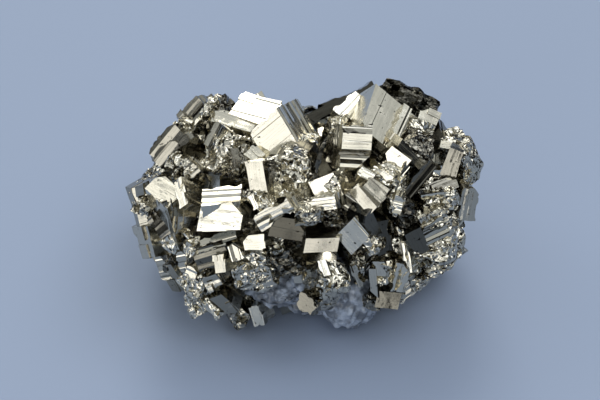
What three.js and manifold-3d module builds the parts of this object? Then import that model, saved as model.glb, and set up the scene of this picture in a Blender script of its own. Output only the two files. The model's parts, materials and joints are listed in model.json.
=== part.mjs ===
// Pyrite quartz specimen: blocky pyrite crystals grown together over a lump of milky quartz.
// Millimetres, +Z up, front towards -Y. The origin is the middle of the flat underside.
import * as THREE from "three";
import { mergeVertices } from "three/addons/utils/BufferGeometryUtils.js";
import Module from "manifold-3d";

const wasm = await Module();
wasm.setup();

// ---- Driving dimensions ----
const CLUSTER_CENTRE = [1, -1, 13.5]; // middle of the mass of small crystals
const CLUSTER_REACH = [28.5, 18.5, 16]; // half its length, width and height
const CLUSTER_POWER = 2.6; // 2 is an ellipsoid, higher is boxier
const FILLER_COUNT = 115; // crystals spread evenly over the mass
const FILLER_SIZE = [4.5, 9]; // smallest and largest edge
const FINISHES = ["striated", "rough", "smooth", "rough", "striated"]; // taken in turn
const FILLER_SINK = [0.5, 2.5]; // how far their faces lie below the mass's surface
const FRONT_SINK = 2; // more, where the listed crystals stand in front
const AZIMUTH_SPREAD = 60; // degrees that a face may turn from the mass's surface
const ELEVATION_SPREAD = 50;
const SKIN_GAP = 0.3; // clearance between pyrite and quartz
const LEDGE_HEIGHT = 0.4; // step between bands of growth lines
const GRAIN_SIZE = [1.2, 2.2]; // small crystals on a rough face
const GRAIN_RISE = 0.5; // how far they stand out
const AREA_PER_GRAIN = 30;
const PIT_RISE = 0.4; // how far the blocks that cut the pits reach out of the face
const AREA_PER_PIT = 50;
const FLOOR_CUT = 120; // side of the block that cuts the underside flat
const BASE_MIDDLE = [0.8, -4.9, 0]; // middle of the underside, in the coordinates of the crystals below

// ---- Crystals: middle of the main face, where it looks, roll, size, finish ----
// `looks` is the face's azimuth (0 is the front, 90 is +X) and elevation. `roll` turns the growth lines
// within the face. `size` is [along the lines, across them, depth behind the face].
const CRYSTALS = {
  crown: [[-4, -8.5, 34.5], [-20, 25], 55, [6.5, 8.5, 10.5], "striated"],
  crown_step: [[-7.5, -10, 33.5], [-5, 75], -40, [3, 2.5, 4], "smooth"],
  heart: [[-2, -19, 35], [25, 30], 75, [6, 7, 9.5], "rough"],
  stripe_slab: [[-4.5, -24, 32.5], [-30, 45], 40, [6.5, 4, 13], "striated"],
  warm_right: [[2.5, -20.5, 31], [-95, 80], 70, [6, 4, 5], "smooth"],
  cool_plate: [[9, 2, 33.5], [30, 65], 20, [5, 3.5, 4.5], "striated"],
  great_grey: [[16.5, -3, 32], [55, 60], 15, [9.5, 11, 8], "smooth"],
  white_cap: [[15.5, -12, 34.5], [-30, 85], -20, [5, 3, 4], "smooth"],
  column: [[9, -10.5, 35], [10, 45], -10, [5, 7, 9.5], "striated"],
  slant_block: [[11, -15, 33.5], [40, 65], -60, [3, 2.5, 3], "striated"],
  olive_band: [[20.5, -7, 32], [60, 65], 70, [4.5, 7, 5], "rough"],
  right_shoulder: [[28.5, -8, 29], [45, 10], 80, [7, 5.5, 4], "rough"],
  right_low: [[28.5, -14, 25], [30, 15], 50, [4, 2.5, 4], "smooth"],
  wedge: [[21.5, -18.5, 29.5], [30, 10], -15, [8, 5.5, 3.5], "rough"],
  mid_grey: [[10, -23, 26.5], [-25, -15], 25, [6, 9.5, 4.5], "smooth"],
  knob: [[15, -21.5, 31], [-5, 35], -5, [2.5, 3, 4.5], "rough"],
  lens: [[10, -19.5, 32], [-20, 35], -40, [5, 1.5, 9], "smooth"],
  left_white: [[-22, -16, 31], [-75, 85], 25, [6.5, 4, 5], "smooth"],
  left_beige: [[-19.5, -18, 32], [-55, 55], -25, [5.5, 2, 3.5], "striated"],
  dark_face: [[-18, -19.5, 27.5], [40, 20], -15, [3.5, 4.5, 4], "smooth"],
  milky_white: [[-12.5, -24, 32], [0, 30], -5, [6.5, 4, 10], "striated"],
  gold_beam: [[-14, -21.5, 25], [-145, 85], -5, [7.5, 4.5, 4.5], "striated"],
  white_small: [[-7.5, -24, 26.5], [-10, 15], 15, [3.5, 2.5, 3], "smooth"],
  small_cube: [[-11, -25.5, 25.5], [5, 55], -50, [2.5, 1.5, 6], "striated"],
  slate: [[-12.5, -23, 11], [-5, 0], 35, [2.5, 4.5, 3.5], "smooth"],
  grey_rough: [[-8, -23, 16.5], [-5, -5], 20, [7.5, 8, 7.5], "rough"],
  front_cube: [[1, -23.5, 11.5], [-15, 20], 60, [3, 4.5, 3.5], "smooth"],
  front_rough: [[6, -25, 20.5], [30, 55], 85, [5.5, 5, 9.5], "rough"],
  beige_top: [[3.5, -22, 23.5], [-15, 0], -75, [3.5, 5.5, 4], "smooth"],
  tan_rough: [[14.5, -23, 16.5], [35, 20], 90, [6.5, 4, 4], "rough"],
  horn_top: [[-18, 2.5, 32], [-45, 70], -85, [6, 5, 5.5], "striated"],
  horn_low: [[-22, -4.5, 31], [-90, 40], -60, [7, 9, 8], "striated"],
  grey_slab: [[-11, -1, 33], [-5, 75], -20, [7.5, 3, 5], "smooth"],
  rough_hump: [[-14.5, -8.5, 33], [-65, 40], -75, [8, 6, 7], "rough"],
  bottom_green: [[-7, -21.5, 7], [10, -10], -80, [5.5, 1.5, 3], "smooth"],
  back_ridge: [[8, 5.5, 32], [-90, 80], -75, [14, 3.5, 6.5], "striated"],
  roof_dark: [[19, 9.5, 30], [125, 60], 45, [10, 9, 9], "rough"],
  brown_face: [[19, -21, 23.5], [10, 15], 10, [2.5, 4, 3], "smooth"],
  low_grey: [[23, -20, 19], [15, 5], 90, [3, 2.5, 3], "rough"],
  right_wall: [[26, -17.5, 19.5], [75, 0], 45, [6.5, 9.5, 7.5], "smooth"],
  dark_stripe: [[-22.5, -19, 26], [-30, 35], 35, [3, 6, 4.5], "striated"],
  left_shelf: [[-26, -9.5, 27], [-140, 60], 0, [5, 4.5, 4.5], "smooth"],
  low_left: [[-26, -15.5, 18.5], [-55, 5], 40, [5, 5.5, 5], "smooth"],
  top_dome: [[-14.5, 4, 32], [-10, 55], 20, [4.5, 4, 6], "rough"],
  back_white: [[-8, 3.5, 31.5], [0, 60], 10, [6, 4, 6], "rough"],
  gold_gap: [[-9.5, -9.5, 29.5], [35, 30], 25, [5, 5.5, 6], "smooth"],
  pale_knob: [[-21, -9.5, 31.5], [-20, 45], 30, [3.5, 3, 4], "rough"],
  small_grey: [[-18.5, -13.5, 32], [0, 30], 40, [4.5, 3.5, 4], "rough"],
  left_rough: [[-27, -13, 25.5], [-40, 20], 30, [4.5, 5.5, 5], "rough"],
  left_tuft: [[-25, -16.5, 27], [-10, 30], 60, [4, 4, 4], "rough"],
  white_knots: [[-21.5, -20.5, 22], [-20, 20], 30, [4, 3.5, 4], "rough"],
  knot_upper: [[-18.5, -23, 26], [0, 30], 15, [2.5, 2.5, 3], "rough"],
  knot_lower: [[-18.5, -23.5, 23.5], [-10, 20], 35, [2.5, 2.5, 3], "rough"],
  low_strip: [[-19, -22, 16], [-40, 15], 60, [6, 3, 4], "striated"],
  low_bits: [[-17.5, -23.5, 18], [0, 20], 20, [3.5, 3, 4], "rough"],
  low_olive: [[-17, -19.5, 6.5], [-30, 10], 10, [4.5, 4, 5], "smooth"],
  low_rough: [[-15.5, -22.5, 10.5], [-20, 20], 50, [4, 4, 4], "rough"],
  gold_stripes: [[-14, -24, 15.5], [-10, 10], 60, [3.5, 4, 4], "striated"],
  beige_slip: [[-13, -24, 21.5], [-40, 5], 80, [5, 2.5, 4], "smooth"],
  white_rough: [[-7.5, -24, 23], [0, 30], 20, [4, 3, 4], "rough"],
  bottom_brown: [[-9.5, -20, 4], [0, 20], 30, [5, 5, 6], "smooth"],
  bottom_rough: [[-6.5, -20, 5.5], [20, 20], 10, [3.5, 4, 5], "rough"],
  dark_rough: [[-2, -22, 19], [10, 20], 30, [4.5, 6, 5], "rough"],
  tiny_knob: [[-4, -22, 24.5], [0, 40], 20, [3, 3, 4], "rough"],
  small_foot: [[-8.5, -19.5, 32], [-20, 40], 40, [2.5, 2.5, 3], "rough"],
  slab_front: [[1.5, -23.5, 30], [20, 10], 20, [4.5, 5, 5], "smooth"],
  slab_grey: [[-2.5, -24, 29], [-5, 0], 10, [6, 4, 5], "smooth"],
  small_top: [[5.5, -2.5, 33], [-40, 50], 20, [2.5, 4, 4], "rough"],
  dark_long: [[20, -12.5, 30.5], [60, 20], 50, [7, 3, 5], "striated"],
  grey_wing: [[22, 2, 31], [20, 45], 30, [4.5, 3.5, 4], "smooth"],
  black_bit: [[24.5, 0, 29.5], [90, 30], 10, [4, 4, 4], "smooth"],
  right_bits: [[24.5, -5, 31], [0, 50], 20, [3.5, 3.5, 4], "rough"],
  right_top: [[27, -2.5, 30], [30, 60], 35, [4, 3, 4], "rough"],
  right_block: [[22, -19.5, 25.5], [10, 20], 20, [6, 6, 6], "rough"],
  right_lower: [[23.5, -19, 20], [20, 15], 60, [5, 5, 6], "rough"],
  right_foot: [[22.5, -20, 16], [15, 10], 30, [4, 3.5, 4], "rough"],
  corner_bits: [[20, -21.5, 14.5], [10, 20], 10, [3.5, 3, 4], "rough"],
  low_middle: [[18.5, -22, 18], [-10, 10], 70, [5, 3, 4], "rough"],
  pale_column: [[17, -23.5, 23], [20, 10], 85, [7, 2.5, 4], "striated"],
  pale_low: [[16.5, -23, 17.5], [10, 5], 80, [6, 2.5, 4], "striated"],
  dark_columns: [[14, -22, 25.5], [30, 20], 75, [6, 3, 4], "striated"],
  knob_dark: [[18, -18.5, 27.5], [20, 10], 10, [3.5, 5, 4], "smooth"],
  tan_foot: [[15.5, -21.5, 11], [10, 10], 20, [4.5, 3.5, 4], "rough"],
  foot_brown: [[12, -21, 7.5], [-20, 10], 60, [5, 4, 5], "smooth"],
  back_left: [[-24, -1, 27], [-70, 45], 20, [4, 5, 5], "rough"],
};

// Solid blocks inside the mass that all crystals are rooted in: middle, size and turn in degrees.
const ROOTS = [
  [[1, -1, 11], [32, 17, 22], [0, 0, 0]],
  [[1, -1, 13], [40, 12, 12], [15, 5, 5]],
  [[2, -1, 11], [22, 23, 16], [5, -10, 20]],
  [[-11, -4, 19], [14, 14, 13], [25, 30, 15]],
  [[13, -4, 19], [14, 15, 13], [-20, 30, 40]],
];

// Rounded lumps of the quartz: middle and radii.
const QUARTZ_LUMPS = [
  [[8, -15.5, 6.5], [6.5, 6.5, 7]],
  [[2, -16, 12], [5, 6, 5]],
  [[-3.5, -16, 9], [6, 5.5, 3.5]],
  [[2, -14, 5], [10, 5, 5.5]],
];

// ---- Helpers ----
const degrees = THREE.MathUtils.degToRad;
const toDegrees = THREE.MathUtils.radToDeg;

// Repeatable number from 0 to 1 for a whole number.
function scatter(index) {
  const value = Math.sin(index * 12.9898) * 43758.5453;
  return value - Math.floor(value);
}

function between([low, high], index) {
  return low + (high - low) * scatter(index);
}

function toSolid(geometry) {
  const bare = geometry.clone();
  bare.deleteAttribute("normal");
  bare.deleteAttribute("uv");
  const merged = mergeVertices(bare, 1e-5);
  return new wasm.Manifold(new wasm.Mesh({
    numProp: 3,
    vertProperties: new Float32Array(merged.attributes.position.array),
    triVerts: new Uint32Array(merged.index.array),
  }));
}

function toGeometry(solid) {
  const mesh = solid.getMesh();
  const geometry = new THREE.BufferGeometry();
  geometry.setAttribute("position", new THREE.BufferAttribute(mesh.vertProperties, 3));
  geometry.setIndex(new THREE.BufferAttribute(mesh.triVerts, 1));
  geometry.computeVertexNormals();
  return geometry;
}

function block(size, middle, turn = [0, 0, 0]) {
  const geometry = new THREE.BoxGeometry(...size);
  geometry.rotateX(turn[0]).rotateY(turn[1]).rotateZ(turn[2]);
  return geometry.translate(...middle);
}

function joinAll(solids) {
  return solids.reduce((sum, next) => sum.add(next));
}

// The largest single body, with any pocket sealed inside it filled.
function mainBody(solid) {
  return solid.decompose().reduce((best, next) => (next.volume() > best.volume() ? next : best));
}

// Turns a crystal's own axes (along, across, out of the main face) to where it looks.
function placement({ at, looks, roll }) {
  const [azimuth, elevation, turn] = [...looks, roll].map(degrees);
  const out = new THREE.Vector3(
    Math.sin(azimuth) * Math.cos(elevation),
    -Math.cos(azimuth) * Math.cos(elevation),
    Math.sin(elevation),
  );
  const level = new THREE.Vector3(Math.cos(azimuth), Math.sin(azimuth), 0);
  const rise = new THREE.Vector3().crossVectors(out, level);
  const along = level.multiplyScalar(Math.cos(turn)).addScaledVector(rise, Math.sin(turn));
  const across = new THREE.Vector3().crossVectors(out, along);
  return new THREE.Matrix4().makeBasis(along, across, out).setPosition(...at);
}

// ---- Crystal shapes, in their own axes: the main face is at 0, the body behind it ----
function crystalBody([along, across, deep], swell = 0) {
  return block([along + 2 * swell, across + 2 * swell, deep + 2 * swell], [0, 0, -deep / 2]);
}

// Raised bands beside the growth lines.
function ledges([along, across], seed) {
  const bands = across > 5 ? 2 : 1;
  return Array.from({ length: bands }, (_, band) => {
    const width = across * (0.16 + 0.14 * scatter(seed + band));
    const side = across * ((band + 0.3 + 0.4 * scatter(seed + band + 7)) / bands - 0.5);
    const edge = Math.min(Math.abs(side), (across - width) / 2) * Math.sign(side);
    return block([along * 0.98, width, LEDGE_HEIGHT * 3], [0, edge, -LEDGE_HEIGHT / 2]);
  });
}

// Small blocks that stand out of a rough face by `rise`, or cut the pits in it.
function grains([along, across], seed, count, rise) {
  return Array.from({ length: count }, (_, grain) => {
    const key = seed + grain * 11;
    const edge = between(GRAIN_SIZE, key);
    const middle = [
      (scatter(key + 1) - 0.5) * (along - edge),
      (scatter(key + 2) - 0.5) * (across - edge),
      rise - edge / 2,
    ];
    const turn = [scatter(key + 3) - 0.5, scatter(key + 4) - 0.5, Math.PI * scatter(key + 5)];
    return block([edge, edge, edge], middle, turn);
  });
}

function crystal(entry, seed) {
  const solids = [toSolid(crystalBody(entry.size))];
  let pits = [];
  if (entry.finish === "striated") {
    solids.push(...ledges(entry.size, seed).map(toSolid));
  }
  if (entry.finish === "rough") {
    const area = entry.size[0] * entry.size[1];
    solids.push(...grains(entry.size, seed, Math.round(area / AREA_PER_GRAIN), GRAIN_RISE).map(toSolid));
    pits = grains(entry.size, seed + 500, Math.round(area / AREA_PER_PIT), PIT_RISE).map(toSolid);
  }
  const shape = pits.reduce((body, pit) => body.subtract(pit), joinAll(solids));
  return shape.transform(placement(entry).elements);
}

// ---- Crystals that cover the rest of the mass ----
function fillerCrystals() {
  const turnStep = Math.PI * (3 - Math.sqrt(5));
  const fillers = [];
  for (let index = 0; index < FILLER_COUNT; index += 1) {
    const height = 1 - (2 * (index + 0.5)) / FILLER_COUNT;
    const ring = Math.sqrt(1 - height * height);
    const direction = [ring * Math.cos(index * turnStep), ring * Math.sin(index * turnStep), height];
    const powers = direction.reduce((sum, part) => sum + Math.abs(part) ** CLUSTER_POWER, 0);
    const unit = direction.map((part) => part / powers ** (1 / CLUSTER_POWER));
    const outward = new THREE.Vector3(...unit.map(
      (part, axis) => (Math.sign(part) * Math.abs(part) ** (CLUSTER_POWER - 1)) / CLUSTER_REACH[axis],
    )).normalize();
    const key = index * 5;
    const front = outward.z - outward.y > 0.15;
    const sink = between(FILLER_SINK, key + 4) + (front ? FRONT_SINK : 0);
    const at = unit.map(
      (part, axis) => CLUSTER_CENTRE[axis] + CLUSTER_REACH[axis] * part - sink * outward.getComponent(axis),
    );
    const azimuth = toDegrees(Math.atan2(outward.x, -outward.y)) + AZIMUTH_SPREAD * (scatter(key) - 0.5);
    const elevation = toDegrees(Math.asin(outward.z)) + ELEVATION_SPREAD * (scatter(key + 1) - 0.5);
    const edge = between(FILLER_SIZE, key + 3);
    const underneath = outward.z < -0.93;
    const overQuartz = Math.abs(at[0] - 3) < 9 && at[1] < -10 && at[2] < 15;
    if (!underneath && !overQuartz) {
      fillers.push({
        at,
        looks: [azimuth, elevation],
        roll: 180 * scatter(key + 2),
        size: [edge, edge * (0.7 + 0.3 * scatter(key + 4)), edge * 1.2],
        finish: front || outward.z < -0.3 ? "smooth" : FINISHES[index % FINISHES.length],
      });
    }
  }
  return fillers;
}

// ---- Pyrite ----
const listed = Object.values(CRYSTALS).map(
  ([at, looks, roll, size, finish]) => ({ at, looks, roll, size, finish }),
);
const crystals = [...listed, ...fillerCrystals()];
const roots = ROOTS.map(([middle, size, turn]) => toSolid(block(size, middle, turn.map(degrees))));
const belowFloor = toSolid(block([FLOOR_CUT, FLOOR_CUT, FLOOR_CUT], [0, 0, -FLOOR_CUT / 2]));

function pyrite() {
  const grown = joinAll([...crystals.map((entry, index) => crystal(entry, index * 31 + 1)), ...roots]);
  return mainBody(grown.subtract(belowFloor).asOriginal());
}

// ---- Quartz: lumps, less the room that the pyrite and its clearance take ----
function quartz() {
  const lumps = QUARTZ_LUMPS.map(([middle, radii]) => {
    const lump = new THREE.IcosahedronGeometry(1, 2).scale(...radii).translate(...middle);
    return toSolid(lump);
  });
  const room = crystals.map((entry) => toSolid(crystalBody(entry.size, SKIN_GAP + LEDGE_HEIGHT))
    .transform(placement(entry).elements));
  const rootRoom = ROOTS.map(([middle, size, turn]) => {
    const swollen = size.map((side) => side + 2 * SKIN_GAP);
    return toSolid(block(swollen, middle, turn.map(degrees)));
  });
  return mainBody(joinAll(lumps).subtract(joinAll([...room, ...rootRoom])).subtract(belowFloor));
}

const pyriteMetal = new THREE.MeshStandardMaterial({ color: 0xb9b09a, roughness: 0.25, metalness: 1 });
const milkyQuartz = new THREE.MeshStandardMaterial({ color: 0xa9b3bf, roughness: 0.4, metalness: 0 });

const specimen = new THREE.Group();
for (const [name, solid, material] of [
  ["pyrite_cluster", pyrite(), pyriteMetal],
  ["quartz_matrix", quartz(), milkyQuartz],
]) {
  const mesh = new THREE.Mesh(toGeometry(solid), material);
  mesh.name = name;
  specimen.add(mesh);
}
specimen.position.set(...BASE_MIDDLE).negate();

export default specimen;
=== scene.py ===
"""Pyrite quartz specimen: metallic pyrite crystals grown together over milky quartz, on a pale studio floor."""

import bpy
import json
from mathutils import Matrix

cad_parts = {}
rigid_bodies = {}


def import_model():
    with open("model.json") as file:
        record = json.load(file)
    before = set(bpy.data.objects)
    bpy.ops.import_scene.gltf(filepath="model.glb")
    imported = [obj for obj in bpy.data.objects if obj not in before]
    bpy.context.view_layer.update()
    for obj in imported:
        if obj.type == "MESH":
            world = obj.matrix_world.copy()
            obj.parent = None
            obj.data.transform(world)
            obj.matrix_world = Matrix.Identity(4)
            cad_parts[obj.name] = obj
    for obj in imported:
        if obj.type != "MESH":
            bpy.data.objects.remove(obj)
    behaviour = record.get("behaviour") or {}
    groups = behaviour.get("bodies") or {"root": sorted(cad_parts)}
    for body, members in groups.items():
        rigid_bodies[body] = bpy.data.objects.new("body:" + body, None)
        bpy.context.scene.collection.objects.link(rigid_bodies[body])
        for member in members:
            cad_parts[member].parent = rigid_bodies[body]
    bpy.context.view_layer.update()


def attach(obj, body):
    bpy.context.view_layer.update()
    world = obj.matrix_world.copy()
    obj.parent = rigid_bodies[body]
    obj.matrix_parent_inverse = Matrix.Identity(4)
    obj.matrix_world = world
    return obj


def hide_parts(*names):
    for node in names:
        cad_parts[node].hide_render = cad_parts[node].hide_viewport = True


bl_info = {
    "name": "Pyrite quartz specimen",
    "version": (1, 0, 0),
    "blender": (4, 5, 0),
    "location": "View3D > Sidebar > Specimen",
    "description": "Builds a pyrite crystal cluster with its quartz, and a plain stage for it",
    "category": "Add Mesh",
}

import json
import math
import random

import bpy
from mathutils import Matrix, Vector, noise

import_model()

MM = 0.001  # shapes are worked out in millimetres and made metres at the end
BASE_MIDDLE = Vector((0.8, -4.9, 0))  # middle of the underside, in the coordinates of the crystals below

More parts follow.
